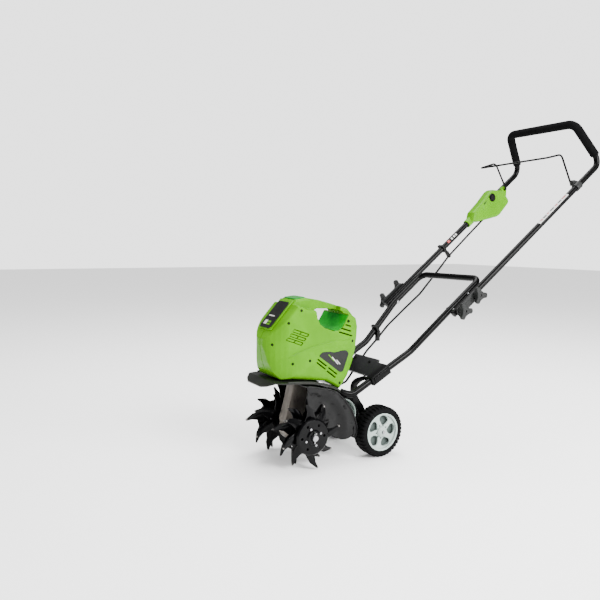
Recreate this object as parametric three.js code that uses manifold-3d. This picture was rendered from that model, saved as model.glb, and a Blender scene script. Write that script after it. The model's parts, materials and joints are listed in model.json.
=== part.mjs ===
// Mini cultivator: millimetres, +Z up, the front faces -Y and the operator's left is +X.
// The origin is below the middle of the machine, on the ground that the tines and wheels rest on.
import * as THREE from 'three';
import { mergeVertices } from 'three/addons/utils/BufferGeometryUtils.js';
import Module from 'manifold-3d';

const wasm = await Module();
wasm.setup();

// Driving dimensions
const GAP = 0.3;
const TUBE_RADIUS = 11;
const TUBE_WALL = 2.2;
const FOAM_RADIUS = 16;
const TINE_RADIUS = 101.5;
const OUTER_TINE_X = 119;
const INNER_TINE_X = 66;
const SHAFT_RADIUS = 9;
const WHEEL_RADIUS = 80;
const AXLE_Y = 254;
const AXLE_RADIUS = 5;
const MOTOR_Y = 33;
const HOUSING_HALF = 80;
const HEAD_HALF = 43;
const CARRY_HALF = 19;
const KNOB_Y = [523, 588];
const HANDLE_SLOPE = 542 / 724;
const HANDLE_LOW = { x: 174, y: 505, z: 443 };
const HANDLE_HIGH = { x: 190, y: 1229, z: 985 };
const GRIP = { x: 151, y: 1121, z: 1124 };
const CROSSBAR = { x: 146, y: 652, z: 555 };
const BAIL_PIVOT = { y: 1104, z: 900 };
const BAIL_RADIUS = 3.2;
const CABLE_RADIUS = 3.5;
const CONTROL_X = [-203, -156];
const DOOR_FOOT = { y: -97, z: 409 };
const DOOR_HEAD = { y: -13, z: 501 };
const ORIGIN_SHIFT_Y = -546.7;

const colours = {
  green: 0x3fae2a,
  black: 0x151617,
  foam: 0x1d1e20,
  grey: 0x7c8080,
  darkGrey: 0x3a3d3f,
  steel: 0x8a8c8e,
  darkSteel: 0x4a4745,
  tyre: 0x1b1b1c,
  hub: 0xa9b3a6,
  copper: 0x9a5a34,
};
const finish = (color, roughness, metalness) =>
  new THREE.MeshStandardMaterial({ color, roughness, metalness });
const look = {
  green: () => finish(colours.green, 0.35, 0),
  gloss: () => finish(colours.black, 0.2, 0.3),
  foam: () => finish(colours.foam, 0.95, 0),
  grey: () => finish(colours.grey, 0.5, 0),
  dark: () => finish(colours.darkGrey, 0.5, 0),
  steel: () => finish(colours.steel, 0.35, 0.9),
  tine: () => finish(colours.darkSteel, 0.5, 0.8),
  tyre: () => finish(colours.tyre, 0.85, 0),
  hub: () => finish(colours.hub, 0.5, 0),
  copper: () => finish(colours.copper, 0.4, 0.8),
};

// Solid helpers
function solid(geometry) {
  const bare = geometry.clone();
  bare.deleteAttribute('normal');
  bare.deleteAttribute('uv');
  const merged = mergeVertices(bare, 1e-3);
  const mesh = new wasm.Mesh({
    numProp: 3,
    vertProperties: new Float32Array(merged.attributes.position.array),
    triVerts: new Uint32Array(merged.index.array),
  });
  return new wasm.Manifold(mesh);
}

function shaped(body) {
  const mesh = body.getMesh();
  const geometry = new THREE.BufferGeometry();
  geometry.setAttribute('position', new THREE.BufferAttribute(mesh.vertProperties, 3));
  geometry.setIndex(new THREE.BufferAttribute(mesh.triVerts, 1));
  geometry.computeVertexNormals();
  return geometry;
}

const joined = (first, ...others) => others.reduce((body, other) => body.add(other), first);
const cut = (first, ...others) => others.reduce((body, other) => body.subtract(other), first);

function box(xs, ys, zs) {
  const geometry = new THREE.BoxGeometry(xs[1] - xs[0], ys[1] - ys[0], zs[1] - zs[0]);
  geometry.translate((xs[0] + xs[1]) / 2, (ys[0] + ys[1]) / 2, (zs[0] + zs[1]) / 2);
  return solid(geometry);
}

// A round bar along X between two planes
function barX(radius, xs, y, z, sides = 16) {
  const geometry = new THREE.CylinderGeometry(radius, radius, xs[1] - xs[0], sides);
  geometry.rotateZ(-Math.PI / 2);
  geometry.translate((xs[0] + xs[1]) / 2, y, z);
  return solid(geometry);
}

// A round bar along Z between two planes
function barZ(radius, zs, x, y, sides = 16) {
  const geometry = new THREE.CylinderGeometry(radius, radius, zs[1] - zs[0], sides);
  geometry.rotateX(Math.PI / 2);
  geometry.translate(x, y, (zs[0] + zs[1]) / 2);
  return solid(geometry);
}

// A round body about the X axis, from [radius, x] points that start and end on the axis
function roundX(profile, y, z, sides = 24) {
  const geometry = new THREE.LatheGeometry(profile.map(([r, x]) => new THREE.Vector2(r, x)), sides);
  geometry.rotateZ(-Math.PI / 2);
  geometry.translate(0, y, z);
  return orient(geometry);
}

// A round body about the Z axis
function roundZ(profile, x, y, sides = 24) {
  const geometry = new THREE.LatheGeometry(profile.map(([r, z]) => new THREE.Vector2(r, z)), sides);
  geometry.rotateX(Math.PI / 2);
  geometry.translate(x, y, 0);
  return orient(geometry);
}

// Turns the faces outward when a profile was drawn the other way round
function orient(geometry) {
  const index = geometry.index.array;
  const position = geometry.attributes.position;
  const a = new THREE.Vector3();
  const b = new THREE.Vector3();
  const c = new THREE.Vector3();
  let volume = 0;
  for (let i = 0; i < index.length; i += 3) {
    a.fromBufferAttribute(position, index[i]);
    b.fromBufferAttribute(position, index[i + 1]);
    c.fromBufferAttribute(position, index[i + 2]);
    volume += a.dot(b.cross(c));
  }
  if (volume < 0) {
    for (let i = 0; i < index.length; i += 3) {
      [index[i], index[i + 1]] = [index[i + 1], index[i]];
    }
  }
  return solid(geometry);
}

// A [y, z] outline pulled along X, with rounded outer edges when bevel is given
function slab(outline, xs, bevel = 0, segments = 2, curveSegments = 5) {
  const shape = outline instanceof THREE.Shape
    ? outline
    : new THREE.Shape(outline.map(([y, z]) => new THREE.Vector2(y, z)));
  const geometry = new THREE.ExtrudeGeometry(shape, {
    depth: xs[1] - xs[0] - 2 * bevel,
    bevelEnabled: bevel > 0,
    bevelThickness: bevel,
    bevelSize: bevel,
    bevelOffset: -bevel,
    bevelSegments: segments,
    curveSegments,
  });
  geometry.translate(0, 0, bevel);
  geometry.applyMatrix4(new THREE.Matrix4().set(0, 0, 1, xs[0], 1, 0, 0, 0, 0, 1, 0, 0, 0, 0, 0, 1));
  return solid(geometry);
}

// A path that is sampled only at its stations, so that straight runs stay plain
class StationPath extends THREE.Curve {
  constructor(stations) {
    super();
    this.stations = stations;
  }

  getPointAt(u) {
    return this.stations[Math.round(u * (this.stations.length - 1))].clone();
  }

  getTangentAt(u) {
    const here = Math.round(u * (this.stations.length - 1));
    const before = this.stations[Math.max(here - 1, 0)];
    const after = this.stations[Math.min(here + 1, this.stations.length - 1)];
    return after.clone().sub(before).normalize();
  }
}

// Stations along straight runs that meet in arcs: corners are {x, y, z, r}
function bent(corners, stepDegrees = 24) {
  const at = corners.map((c) => new THREE.Vector3(c.x, c.y, c.z));
  const stations = [at[0]];
  for (let i = 1; i < at.length - 1; i += 1) {
    const back = at[i - 1].clone().sub(at[i]).normalize();
    const on = at[i + 1].clone().sub(at[i]).normalize();
    const half = back.angleTo(on) / 2;
    const radius = corners[i].r;
    const centre = back.clone().add(on).normalize().multiplyScalar(radius / Math.sin(half)).add(at[i]);
    const start = back.clone().multiplyScalar(radius / Math.tan(half)).add(at[i]).sub(centre);
    const axis = on.clone().cross(back).normalize();
    const arcSteps = Math.max(1, Math.ceil(THREE.MathUtils.radToDeg(Math.PI - 2 * half) / stepDegrees));
    for (let k = 0; k <= arcSteps; k += 1) {
      const turn = ((Math.PI - 2 * half) * k) / arcSteps;
      stations.push(start.clone().applyAxisAngle(axis, turn).add(centre));
    }
  }
  stations.push(at[at.length - 1]);
  return stations;
}

function ring(radius, sides) {
  return Array.from({ length: sides }, (_, i) => {
    const angle = (2 * Math.PI * i) / sides;
    return new THREE.Vector2(radius * Math.cos(angle), radius * Math.sin(angle));
  });
}

function swept(stations, radius, sides = 12, bore = 0, boreSides = 6) {
  const shape = new THREE.Shape(ring(radius, sides));
  if (bore > 0) {
    shape.holes.push(new THREE.Path(ring(bore, boreSides)));
  }
  const geometry = new THREE.ExtrudeGeometry(shape, {
    steps: stations.length - 1,
    extrudePath: new StationPath(stations),
    bevelEnabled: false,
  });
  return orient(mergeVertices(geometry));
}

const mirrored = (corners) => [
  ...corners,
  ...corners.map((c) => ({ ...c, x: -c.x })).reverse(),
];

const group = new THREE.Group();
group.position.y = ORIGIN_SHIFT_Y;

function add(name, body, material) {
  const mesh = new THREE.Mesh(shaped(body), material);
  mesh.name = name;
  group.add(mesh);
}

const sides = [['left', 1], ['right', -1]];
const flipX = (body) => body.mirror([1, 0, 0]);
const onSide = (body, sign) => (sign > 0 ? body : flipX(body));

// Slanted frame of the battery door: u runs up the slope and w is the depth below its face
const doorLength = Math.hypot(DOOR_HEAD.y - DOOR_FOOT.y, DOOR_HEAD.z - DOOR_FOOT.z);
const doorTurn = Math.atan2(DOOR_HEAD.z - DOOR_FOOT.z, DOOR_HEAD.y - DOOR_FOOT.y);
function slanted(xs, us, ws) {
  const geometry = new THREE.BoxGeometry(xs[1] - xs[0], us[1] - us[0], ws[1] - ws[0]);
  geometry.translate((xs[0] + xs[1]) / 2, (us[0] + us[1]) / 2, -(ws[0] + ws[1]) / 2);
  geometry.rotateX(doorTurn);
  geometry.translate(0, DOOR_FOOT.y, DOOR_FOOT.z);
  return solid(geometry);
}

// Motor housing
const bodyOutline = [
  [-97, 407], [-111, 388], [-112, 366], [-104, 318], [-94, 288], [-78, 270], [-39, 267], [75, 250],
  [128, 220], [158, 258], [178, 300], [192, 345], [198, 382], [200, 410], [193, 436], [172, 450],
  [120, 460], [62, 466], [10, 473], [-24, 487],
];
const headOutline = [
  [DOOR_FOOT.y, DOOR_FOOT.z], [-90, 380], [40, 372], [196, 372], [204, 396], [203, 422],
  [196, 446], [178, 465], [134, 480], [80, 495], [24, 505], [DOOR_HEAD.y, DOOR_HEAD.z],
];
const carryOpening = [
  [58, 458], [60, 438], [70, 420], [84, 409], [104, 402], [122, 402], [138, 412], [151, 432],
  [161, 449], [156, 457], [140, 463], [114, 466], [76, 468],
];
// Beside the carry handle the body is cut away down to the opening
const handleRoom = [
  [38, 530], [41, 466], [44, 446], [54, 426], [73, 412], [98, 409], [113, 414], [134, 437],
  [148, 462], [158, 530],
];
const wallRoom = [
  [33, 540], [36, 460], [39, 442], [50, 420], [66, 408], [82, 402], [104, 396], [130, 396],
  [151, 408], [164, 430], [170, 449], [172, 540],
];
const bodyCentre = [50, 342];
const wallScale = 0.94;
const inside = bodyOutline
  .filter(([y, z]) => z < 470)
  .map(([y, z]) => [
    bodyCentre[0] + (y - bodyCentre[0]) * wallScale,
    bodyCentre[1] + (z - bodyCentre[1]) * wallScale,
  ]);

function slot(centre, length, width, turn, xs) {
  const geometry = new THREE.BoxGeometry(xs[1] - xs[0], length, width);
  geometry.rotateX(turn);
  geometry.translate((xs[0] + xs[1]) / 2, centre[0], centre[1]);
  return solid(geometry);
}

// A plan outline pulled up along Z
function column(shape, zs, curveSegments = 8) {
  const geometry = new THREE.ExtrudeGeometry(shape, {
    depth: zs[1] - zs[0],
    bevelEnabled: false,
    curveSegments,
  });
  geometry.translate(0, 0, zs[0]);
  return solid(geometry);
}

// Rounded at the nose and narrower at the back
const housingPlan = new THREE.Shape();
housingPlan.moveTo(62, 205);
housingPlan.lineTo(-62, 205);
housingPlan.quadraticCurveTo(-HOUSING_HALF, 150, -HOUSING_HALF, 60);
housingPlan.lineTo(-HOUSING_HALF, -30);
housingPlan.absellipse(0, -30, HOUSING_HALF, 84, Math.PI, 2 * Math.PI, false);
housingPlan.lineTo(HOUSING_HALF, 60);
housingPlan.quadraticCurveTo(HOUSING_HALF, 150, 62, 205);

// The side wall steps in above this crease
const crease = [[-120, 338], [-62, 331], [-15, 348], [36, 362], [97, 371], [210, 372]];
const STEP_IN = 4;

const sideWall = [HOUSING_HALF - 18, HOUSING_HALF + 5];
// Three louvres one below the other, level at neither end
const VENT = { y: -24, z: 392, alongY: 26, alongZ: -9.6, stepY: -10, stepZ: -12, half: 0.34 };
const frontVents = [-1, 0, 1].map((i) => {
  const corner = (a, b) => [
    VENT.y + VENT.stepY * (i + VENT.half * b) + VENT.alongY * a,
    VENT.z + VENT.stepZ * (i + VENT.half * b) + VENT.alongZ * a,
  ];
  return slab([corner(-1, 1), corner(1, 1), corner(1, -1), corner(-1, -1)], sideWall);
});
const rearSlits = [[159, 416, 26], [152, 403, 44], [150, 390, 58]].map(
  ([y, z, length]) => slot([y, z], length, 3.6, -0.3, sideWall));
const lowSlits = [[60, 309], [56, 300], [99, 280], [94, 270]].map(
  (spot) => slot(spot, 42, 3.6, -0.64, sideWall));
const screwSpots = [[16, 319, 0], [-43, 315, 1], [158, 430, STEP_IN]];
const screwWells = screwSpots.map(
  ([y, z, inset]) => barX(4.4, [HOUSING_HALF - inset - 1.5, HOUSING_HALF + 2], y, z, 10));

function halfShell() {
  const round = slab(bodyOutline, [-HOUSING_HALF, HOUSING_HALF], 14, 3)
    .intersect(column(housingPlan, [150, 560]));
  const aboveCrease = slab([...crease, [210, 560], [-120, 560]], [HOUSING_HALF - STEP_IN, HOUSING_HALF + 10]);
  const outer = joined(cut(round, aboveCrease), slab(headOutline, [-HEAD_HALF, HEAD_HALF], 6));
  const handleSide = slab(handleRoom, [CARRY_HALF, 100]);
  const keep = box([GAP / 2, 100], [-200, 300], [150, 560]);
  const hollow = cut(
    slab(inside, [-HOUSING_HALF + 8, HOUSING_HALF - 8], 8).intersect(
      column(housingPlan, [150, 560]).scale([0.93, 0.93, 1])),
    slab(wallRoom, [-100, 100]),
    slanted([-HEAD_HALF, HEAD_HALF], [-20, doorLength + 20], [-10, 7]),
  );
  const bay = slanted([-33, 33], [12, doorLength - 14], [-10, 60]);
  const neckHole = box([-40, 40], [MOTOR_Y - 40, MOTOR_Y + 40], [200, 300]);
  const opening = slab(carryOpening, [-100, 100]);
  const shell = cut(
    outer, handleSide, hollow, bay, neckHole, opening,
    ...frontVents, ...rearSlits, ...lowSlits, ...screwWells,
  );
  return shell.intersect(keep);
}
const leftShell = halfShell();
for (const [side, sign] of sides) {
  add(`housing_${side}`, onSide(leftShell, sign), look.green());
}
for (const [i, [y, z, inset]] of screwSpots.entries()) {
  const face = HOUSING_HALF - inset;
  add(`shell_screw_${i + 1}`, barX(4, [face - 1.2, face + 0.8], y, z, 10), look.steel());
}

// Battery door and pack
add('battery_door', joined(
  slanted([-39, 39], [4, doorLength - 6], [-4.4, -GAP]),
  slanted([-33, 33], [8, doorLength - 14], [-6, -4]),
), look.green());
add('battery_pack', joined(
  slanted([-31, 31], [15, doorLength - 17], [6, 50]),
  slanted([-12, 12], [30, 50], [1.5, 7]),
), look.dark());

// Motor: an open-topped can round a rotor that carries the worm on its shaft
add('motor_can', roundZ([
  [9, 266], [34, 266], [34, 346], [28, 346], [28, 271], [9, 271], [9, 266],
], 0, MOTOR_Y, 20), look.steel());
add('motor_rotor', joined(
  roundZ([[0, 276], [24, 276], [24, 332], [0, 332]], 0, MOTOR_Y, 16),
  barZ(4, [74, 344], 0, MOTOR_Y, 8),
  ...[0, 1, 2, 3].map((i) => roundZ(
    [[0, 82 + 10 * i], [6.4, 84 + 10 * i], [6.4, 87 + 10 * i], [0, 89 + 10 * i]],
    0, MOTOR_Y, 8,
  )),
), look.copper());

// Gearcase halves, hollow for the worm and its wheel
function gearcaseHalf() {
  const round = roundX([[0, 0], [38, 0], [38, 14], [32, 20], [16, 20], [16, 34], [0, 34]], 0, TINE_RADIUS, 20);
  const neck = slab([[-34, 128], [-28, 104], [14, 76], [44, 76], [50, 96], [61, 265], [1, 265], [-16, 190]], [0, 20]);
  const wheelRoom = barX(30, [-1, 9], 0, TINE_RADIUS, 20);
  const wormRoom = barZ(8.6, [70, 280], 0, MOTOR_Y, 12);
  const bore = barX(SHAFT_RADIUS + 0.6, [-5, 40], 0, TINE_RADIUS, 16);
  const keep = box([GAP / 2, 60], [-80, 120], [40, 300]);
  return cut(joined(round, neck), wheelRoom, wormRoom, bore).intersect(keep);
}
const leftCase = gearcaseHalf();
for (const [side, sign] of sides) {
  add(`gearcase_${side}`, onSide(leftCase, sign), look.dark());
}

// Front fender and rear tine guard, bent sheets with a hole for the gearcase neck
const thickened = (line, thickness) => [...line, ...line.map(([y, z]) => [y, z - thickness]).reverse()];
const neckOpening = box([-22, 22], [-8, 66], [150, 300]);
const fenderLine = [[-132, 252], [-104, 266], [-39, 262], [10, 257], [58, 247], [104, 228], [128, 207]];
const fenderPlan = new THREE.Shape();
fenderPlan.moveTo(-100, 140);
fenderPlan.lineTo(-100, -60);
fenderPlan.quadraticCurveTo(-96, -118, -42, -131);
fenderPlan.lineTo(42, -131);
fenderPlan.quadraticCurveTo(96, -118, 100, -60);
fenderPlan.lineTo(100, 140);
const fender = slab(thickened(fenderLine, 4), [-100, 100]).intersect(column(fenderPlan, [200, 300], 4));

// The legs of the lower handle end in sockets in the fender and the roof of the guard
const lowerHalf = [
  { x: 92, y: 118, z: 216 },
  { x: 108, y: 148, z: 205, r: 34 },
  { x: 118, y: 372, z: 323, r: 80 },
  { x: 143, y: 515, z: 452, r: 150 },
  { ...CROSSBAR, r: 30 },
];
const tunnelHalf = [{ x: 91.6, y: 117.3, z: 216.3 }, ...lowerHalf.slice(1)];
const legTunnel = swept(bent(tunnelHalf), TUBE_RADIUS + GAP, 12);

add('front_fender', cut(fender, neckOpening, legTunnel, flipX(legTunnel)), look.dark());

const guardOuter = [
  [-22, 251], [10, 249], [58, 239], [100, 220], [128, 196], [150, 163], [164, 132], [171, 108],
  [171, 86], [166, 66],
];
const guardInner = [
  [-22, 247], [10, 245], [57, 235], [97, 217], [124, 193], [146, 161], [160, 130], [167, 108],
  [167, 86], [162, 66],
];
const guardFace = new THREE.Shape();
guardFace.moveTo(-112, 270);
guardFace.lineTo(-112, 92);
guardFace.quadraticCurveTo(-111, 67, -88, 66);
guardFace.lineTo(88, 66);
guardFace.quadraticCurveTo(111, 67, 112, 92);
guardFace.lineTo(112, 270);
const guardGeometry = new THREE.ExtrudeGeometry(guardFace, { depth: 260, bevelEnabled: false, curveSegments: 4 });
guardGeometry.rotateX(Math.PI / 2);
guardGeometry.translate(0, 200, 0);
// A side panel hangs from the roof between the two stars of each side
const PANEL_X = [86, 90];
const panelLine = [
  [-8, 249], [57, 237], [97, 219], [125, 194], [147, 162], [161, 131], [168, 108], [168, 90],
  [160, 76], [144, 68], [118, 68], [80, 82], [18, 88],
];
const panel = cut(slab(panelLine, PANEL_X), barX(26, [80, 100], 0, TINE_RADIUS, 20));
const guardRoof = slab([...guardOuter, ...guardInner.reverse()], [-112, 112]);
add('rear_guard', cut(
  joined(guardRoof, panel, flipX(panel)).intersect(solid(guardGeometry)),
  neckOpening,
  legTunnel,
  flipX(legTunnel),
), look.gloss());

// Lower handle: an upside-down U whose legs run forward into the rear guard
const kneeZ = (y) => HANDLE_LOW.z + (y - HANDLE_LOW.y) * HANDLE_SLOPE;
const pivotHoles = barX(3.6, [-220, 220], KNOB_Y[0], kneeZ(KNOB_Y[0]), 10);
add('lower_handle', cut(
  swept(bent(mirrored(lowerHalf)), TUBE_RADIUS, 12, TUBE_RADIUS - TUBE_WALL),
  pivotHoles,
), look.gloss());

// Leg plate across the legs, its screws, and a clamp sleeve on each leg
const legSlope = (323 - 205) / (372 - 148);
const legTurn = Math.atan(legSlope);
function onLeg(xs, us, ws, y0 = 250) {
  const geometry = new THREE.BoxGeometry(xs[1] - xs[0], us[1] - us[0], ws[1] - ws[0]);
  geometry.translate((xs[0] + xs[1]) / 2, (us[0] + us[1]) / 2, (ws[0] + ws[1]) / 2);
  geometry.rotateX(legTurn);
  geometry.translate(0, y0, 205 + (y0 - 148) * legSlope);
  return solid(geometry);
}
// The plate stands steeper than the legs, between them
const PLATE = { y: 292, z: 262, turn: (50 * Math.PI) / 180, half: 96, up: 33 };
function onPlate(xs, us, ws) {
  const geometry = new THREE.BoxGeometry(xs[1] - xs[0], us[1] - us[0], ws[1] - ws[0]);
  geometry.translate((xs[0] + xs[1]) / 2, (us[0] + us[1]) / 2, (ws[0] + ws[1]) / 2);
  geometry.rotateX(PLATE.turn);
  geometry.translate(0, PLATE.y, PLATE.z);
  return solid(geometry);
}
add('leg_plate', joined(
  onPlate([-PLATE.half, PLATE.half], [-PLATE.up, PLATE.up - 10], [-4, 4]),
  onPlate([-PLATE.half, PLATE.half - 60], [0, PLATE.up], [-4, 4]),
  onPlate([-PLATE.half + 8, PLATE.half - 8], [-PLATE.up, -PLATE.up + 6], [-8, 0]),
), look.grey());
const plateScrews = [[82, 12], [60, -22], [0, 16], [-82, 18], [-82, -20]];
for (const [i, [x, u]] of plateScrews.entries()) {
  add(`plate_screw_${i + 1}`, onPlate([x - 4, x + 4], [u - 4, u + 4], [4 + GAP, 7]), look.dark());
}
const sleeve = cut(
  joined(
    onLeg([99, 127.5], [-38, 38], [-13.5, 13.5]),
    onLeg([102, 131], [-30, 30], [-9, 9]),
  ),
  legTunnel,
);
for (const [side, sign] of sides) {
  add(`leg_sleeve_${side}`, onSide(sleeve, sign), look.gloss());
}

// Wheel arms and axle
const ARM_X = [70, 74];
const armShape = new THREE.Shape();
armShape.moveTo(229, 252);
armShape.lineTo(196, 248);
armShape.quadraticCurveTo(170, 242, 170, 216);
armShape.quadraticCurveTo(172, 184, 196, 150);
armShape.quadraticCurveTo(218, 108, 245, 72);
armShape.quadraticCurveTo(256, 60, 266, 74);
armShape.quadraticCurveTo(270, 90, 252, 104);
armShape.quadraticCurveTo(232, 128, 221, 158);
armShape.quadraticCurveTo(192, 190, 194, 214);
armShape.quadraticCurveTo(196, 232, 229, 238);
const axleZ = WHEEL_RADIUS;
const arm = cut(
  joined(slab(armShape, ARM_X), barX(6, [ARM_X[0], 98.6], 222, 245, 12)),
  barX(AXLE_RADIUS + GAP, [ARM_X[0] - 5, ARM_X[1] + 5], AXLE_Y, axleZ, 12),
  legTunnel,
);
for (const [side, sign] of sides) {
  add(`wheel_arm_${side}`, onSide(arm, sign), look.dark());
}
const axleCollar = [ARM_X[0] - GAP - 6, ARM_X[0] - GAP];
add('wheel_axle', joined(
  barX(AXLE_RADIUS, [-141, 141], AXLE_Y, axleZ, 12),
  barX(8, axleCollar, AXLE_Y, axleZ, 12),
  barX(8, axleCollar.map((x) => -x).reverse(), AXLE_Y, axleZ, 12),
), look.steel());

// Wheels
function teardrop(angle) {
  const hole = new THREE.Path();
  const spot = (radius, turn) => [radius * Math.cos(angle + turn), radius * Math.sin(angle + turn)];
  hole.moveTo(...spot(20, -0.05));
  hole.quadraticCurveTo(...spot(27, -0.75), ...spot(42, -0.6));
  hole.quadraticCurveTo(...spot(54, -0.42), ...spot(52.5, -0.02));
  hole.quadraticCurveTo(...spot(51, 0.3), ...spot(38, 0.28));
  return hole;
}
const tyre = roundX([
  [61, 81], [71, 80], [77, 84], [80, 92], [80, 127], [77, 133], [72, 136], [61, 135],
  [58.3, 130], [58.3, 87], [61, 81],
], AXLE_Y, axleZ, 24);
const webShape = new THREE.Shape(ring(56, 20));
webShape.holes = [0, 1, 2, 3, 4].map((i) => teardrop((2 * Math.PI * (i + 0.2)) / 5));
const web = slab(webShape, [122, 127], 0, 2, 3).translate(0, AXLE_Y, axleZ);
const hub = cut(joined(
  web,
  roundX([[54, 90], [58, 90], [58, 130], [59.5, 134], [54, 133], [54, 90]], AXLE_Y, axleZ, 24),
  roundX([
    [0, 77], [11, 77], [13, 118], [17, 131], [10, 136], [0, 136],
  ], AXLE_Y, axleZ, 16),
), barX(AXLE_RADIUS + GAP, [70, 150], AXLE_Y, axleZ, 12));
for (const [side, sign] of sides) {
  add(`tyre_${side}`, onSide(tyre, sign), look.tyre());
  add(`wheel_hub_${side}`, onSide(hub, sign), look.hub());
}

// Tines: each star is a plate whose sickle prongs lean to one side and the other in turn
const PRONGS = 8;
function prong(angle, lean) {
  const shape = new THREE.Shape();
  shape.moveTo(28, -19);
  shape.quadraticCurveTo(74, -25, 98, 13);
  shape.lineTo(98.5, 17);
  shape.lineTo(95, 18);
  shape.quadraticCurveTo(70, 4, 47, 17);
  shape.lineTo(28, 17);
  const geometry = new THREE.ExtrudeGeometry(shape, { depth: 3.6, bevelEnabled: false, curveSegments: 3 });
  const position = geometry.attributes.position;
  for (let i = 0; i < position.count; i += 1) {
    const reach = Math.max(position.getX(i) - 42, 0) / 58;
    position.setZ(i, position.getZ(i) - 1.8 + lean * reach);
  }
  geometry.rotateZ(angle);
  geometry.applyMatrix4(new THREE.Matrix4().set(0, 0, 1, 0, 1, 0, 0, 0, 0, 1, 0, 0, 0, 0, 0, 1));
  return solid(geometry);
}
function star(x, phase) {
  const prongs = Array.from({ length: PRONGS }, (_, i) =>
    prong(phase + (2 * Math.PI * i) / PRONGS, i % 2 ? -11 : 11));
  const plate = joined(barX(42, [-1.8, 1.8], 0, 0, 24), barX(17, [-14, 14], 0, 0, 12), ...prongs);
  const bore = barX(SHAFT_RADIUS + GAP, [-30, 30], 0, 0, 12);
  return cut(plate, bore).translate(x, 0, TINE_RADIUS);
}
const starTurn = (5 * Math.PI) / 180;
add('tine_outer_left', star(OUTER_TINE_X - 9, starTurn - Math.PI / 2 - 0.045), look.tine());
add('tine_inner_left', star(INNER_TINE_X, starTurn + 0.35), look.tine());
add('tine_inner_right', star(-INNER_TINE_X, starTurn + 0.1), look.tine());
add('tine_outer_right', star(-OUTER_TINE_X + 9, starTurn + 0.5), look.tine());
const dish = roundX([
  [SHAFT_RADIUS + GAP, 125.4], [50, 125.4], [54, 122.5], [56, 124.5], [51, 128.6], [24, 128.6],
  [20, 134], [SHAFT_RADIUS + GAP, 134], [SHAFT_RADIUS + GAP, 125.4],
], 0, TINE_RADIUS, 18);
const dishHoles = [0, 1, 2, 3, 4, 5].map((i) => {
  const turn = (Math.PI * i) / 3;
  return barX(4.5, [110, 140], 38 * Math.cos(turn), TINE_RADIUS + 38 * Math.sin(turn), 6);
});
const hubPlate = cut(dish, ...dishHoles);
for (const [side, sign] of sides) {
  add(`tine_hub_${side}`, onSide(hubPlate, sign), look.tine());
}
const pinHoles = [-138, 138].map((x) => barZ(2.3, [70, 130], x, 0, 8));
add('tine_shaft', cut(barX(SHAFT_RADIUS, [-143, 143], 0, TINE_RADIUS, 12), ...pinHoles), look.steel());
const hitchPin = joined(
  barZ(2, [TINE_RADIUS - 17, TINE_RADIUS + 17], 138, 0, 8),
  barX(2, [138, 146], 0, TINE_RADIUS + 15, 8),
);
for (const [side, sign] of sides) {
  add(`hitch_pin_${side}`, onSide(hitchPin, sign), look.steel());
}

// Worm wheel
const TEETH = 20;
const toothShape = new THREE.Shape(Array.from({ length: 2 * TEETH }, (_, i) => {
  const radius = i % 2 ? 22.6 : 25.8;
  const angle = (Math.PI * i) / TEETH;
  return new THREE.Vector2(radius * Math.cos(angle), radius * Math.sin(angle));
}));
add('worm_wheel', cut(
  slab(toothShape, [-6, 6]).translate(0, 0, TINE_RADIUS),
  barX(SHAFT_RADIUS + GAP, [-10, 10], 0, TINE_RADIUS, 12),
), look.copper());

// Upper handle and foam grip
const upperHalf = [
  HANDLE_LOW,
  { ...HANDLE_HIGH, r: 38 },
  { ...GRIP, r: 34 },
];
const upperStations = bent(mirrored(upperHalf), 20);
const boltHoles = KNOB_Y.map((y) => barX(3.6, [-220, 220], y, kneeZ(y), 10));
add('upper_handle', cut(
  swept(upperStations, TUBE_RADIUS, 12, TUBE_RADIUS - TUBE_WALL),
  ...boltHoles,
), look.gloss());
const gripStations = upperStations.slice(6, upperStations.length - 6);
add('foam_grip', swept(gripStations, FOAM_RADIUS, 12, TUBE_RADIUS + 0.8, 12), look.foam());

// Brackets, bolts and three-lobed knobs at the fold
const kneeTurn = Math.atan(HANDLE_SLOPE);
const kneeCentre = [(KNOB_Y[0] + KNOB_Y[1]) / 2, (kneeZ(KNOB_Y[0]) + kneeZ(KNOB_Y[1])) / 2];
const bracketX = HANDLE_LOW.x + TUBE_RADIUS + 3;
function bracket() {
  const outline = new THREE.Shape();
  const reach = 58;
  outline.moveTo(-reach, -12);
  outline.lineTo(reach - 10, -15);
  outline.quadraticCurveTo(reach + 4, -15, reach + 2, 6);
  outline.lineTo(reach - 16, 17);
  outline.lineTo(-reach + 6, 17);
  outline.quadraticCurveTo(-reach - 6, 10, -reach, -12);
  const plate = slab(outline, [bracketX, bracketX + 6], 1.5, 1).rotate([180 / Math.PI * kneeTurn, 0, 0]);
  return cut(plate.translate(0, ...kneeCentre), ...boltHoles);
}
const knobX = bracketX + 6 + GAP;
function knob() {
  const outline = new THREE.Shape();
  const lobe = (turn, radius) => [radius * Math.cos(turn), radius * Math.sin(turn)];
  outline.moveTo(...lobe(-0.3, 28));
  for (const i of [0, 1, 2]) {
    const turn = (2 * Math.PI * i) / 3;
    outline.quadraticCurveTo(...lobe(turn, 34), ...lobe(turn + 0.3, 28));
    outline.quadraticCurveTo(...lobe(turn + Math.PI / 3, 8), ...lobe(turn + (2 * Math.PI) / 3 - 0.3, 28));
  }
  const grip = slab(outline, [9, 20], 1.5, 1, 3);
  return cut(joined(barX(16, [0, 9.5], 0, 0, 14), grip), barX(4, [-1, 30], 0, 0, 10));
}
const knobBody = knob();
const knobNames = ['lower', 'upper'];
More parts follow.
